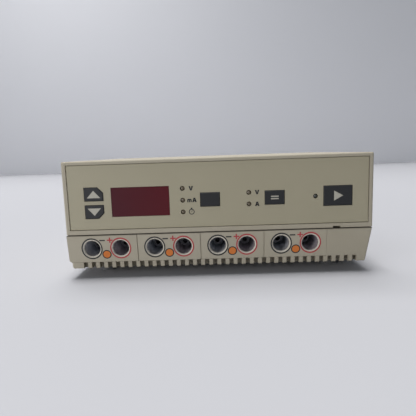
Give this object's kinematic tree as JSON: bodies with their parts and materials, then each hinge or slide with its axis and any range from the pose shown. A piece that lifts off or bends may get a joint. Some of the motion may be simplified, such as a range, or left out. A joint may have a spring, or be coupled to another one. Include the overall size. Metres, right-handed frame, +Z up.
{
  "type": "electrophoresis power supply",
  "caption": "Low bench power supply in a split plastic case, with push keys, indicator lamps and a red display window above recessed output jacks in pairs.",
  "frame": {"origin": "on the bench top, under the middle of the case", "axes": "+X to the right seen from the front, +Y from the front to the back, +Z up"},
  "size_m": [0.2352, 0.2, 0.092],
  "materials": {
    "case_plastic": "fine moulded texture",
    "panel_plastic": "satin",
    "red_filter": "tinted gloss",
    "key_plastic": "satin",
    "lamp_lens": "diffused lens",
    "sleeve_minus": "moulded",
    "sleeve_plus": "moulded",
    "nickel": "nickel plate",
    "board_laminate": "solder mask",
    "ferrite": "sintered",
    "winding_tape": "polyester tape",
    "capacitor_sleeve": "shrink sleeve",
    "aluminium_sheet": "plain mill finish",
    "zinc_steel": "zinc plate",
    "foot_rubber": "matt",
    "ribbon_grey": "flat cable",
    "lead_insulation": "vinyl",
    "fuse_glass": "glass",
    "black_plastic": "moulded"
  },
  "bodies": {
    "root": {"base_tray": "case_plastic", "bridge_rectifier": "black_plastic", "case_screws": "zinc_steel", "control_chips": "black_plastic", "control_panel": "panel_plastic", "display_module": "black_plastic", "display_window": "red_filter", "front_board": "board_laminate", "front_board_screws": "zinc_steel", "front_ribbon": "ribbon_grey", "heat_sink": "aluminium_sheet", "indicator_lamps": "lamp_lens", "inlet_blades": "nickel", "inlet_screws": "zinc_steel", "jack_board": "board_laminate", "jack_contact_minus_1": "nickel", "jack_contact_minus_2": "nickel", "jack_contact_minus_3": "nickel", "jack_contact_minus_4": "nickel", "jack_contact_plus_1": "nickel", "jack_contact_plus_2": "nickel", "jack_contact_plus_3": "nickel", "jack_contact_plus_4": "nickel", "jack_panel": "case_plastic", "jack_ribbon": "ribbon_grey", "jack_sleeve_minus_1": "sleeve_minus", "jack_sleeve_minus_2": "sleeve_minus", "jack_sleeve_minus_3": "sleeve_minus", "jack_sleeve_minus_4": "sleeve_minus", "jack_sleeve_plus_1": "sleeve_plus", "jack_sleeve_plus_2": "sleeve_plus", "jack_sleeve_plus_3": "sleeve_plus", "jack_sleeve_plus_4": "sleeve_plus", "key_switches": "black_plastic", "lamp_spacers": "black_plastic", "main_board": "board_laminate", "main_board_screws": "zinc_steel", "mains_choke": "black_plastic", "mains_inlet": "black_plastic", "mains_leads": "lead_insulation", "output_capacitors": "winding_tape", "output_relays": "black_plastic", "power_transistors": "black_plastic", "rear_panel": "aluminium_sheet", "reservoir_capacitors": "capacitor_sleeve", "rubber_feet": "foot_rubber", "switch_housing": "black_plastic", "top_cover": "case_plastic", "transformer_core": "ferrite", "transformer_winding": "winding_tape"},
    "up_key": {"up_key": "key_plastic"},
    "down_key": {"down_key": "key_plastic"},
    "select_key": {"select_key": "key_plastic"},
    "mode_key": {"mode_key": "key_plastic"},
    "run_key": {"run_key": "key_plastic"},
    "rocker": {"power_rocker": "black_plastic"},
    "drawer": {"fuse_drawer": "black_plastic", "fuses": "fuse_glass"}
  },
  "joints": [
    {"name": "up_key_press", "type": "slide", "parent": "root", "child": "up_key", "axis": [0, 1, 0], "range_m": [0, 0.0008], "stiffness_N_per_m": 400},
    {"name": "down_key_press", "type": "slide", "parent": "root", "child": "down_key", "axis": [0, 1, 0], "range_m": [0, 0.0008], "stiffness_N_per_m": 400},
    {"name": "select_key_press", "type": "slide", "parent": "root", "child": "select_key", "axis": [0, 1, 0], "range_m": [0, 0.0008], "stiffness_N_per_m": 400},
    {"name": "mode_key_press", "type": "slide", "parent": "root", "child": "mode_key", "axis": [0, 1, 0], "range_m": [0, 0.0008], "stiffness_N_per_m": 400},
    {"name": "run_key_press", "type": "slide", "parent": "root", "child": "run_key", "axis": [0, 1, 0], "range_m": [0, 0.0008], "stiffness_N_per_m": 400},
    {"name": "rocker_tilt", "type": "hinge", "parent": "root", "child": "rocker", "pos_m": [0.03, 0.0967, 0.042], "axis": [1, 0, 0], "range_deg": [0, 16]},
    {"name": "drawer_slide", "type": "slide", "parent": "root", "child": "drawer", "axis": [0, 1, 0], "range_m": [0, 0.018]}
  ]
}
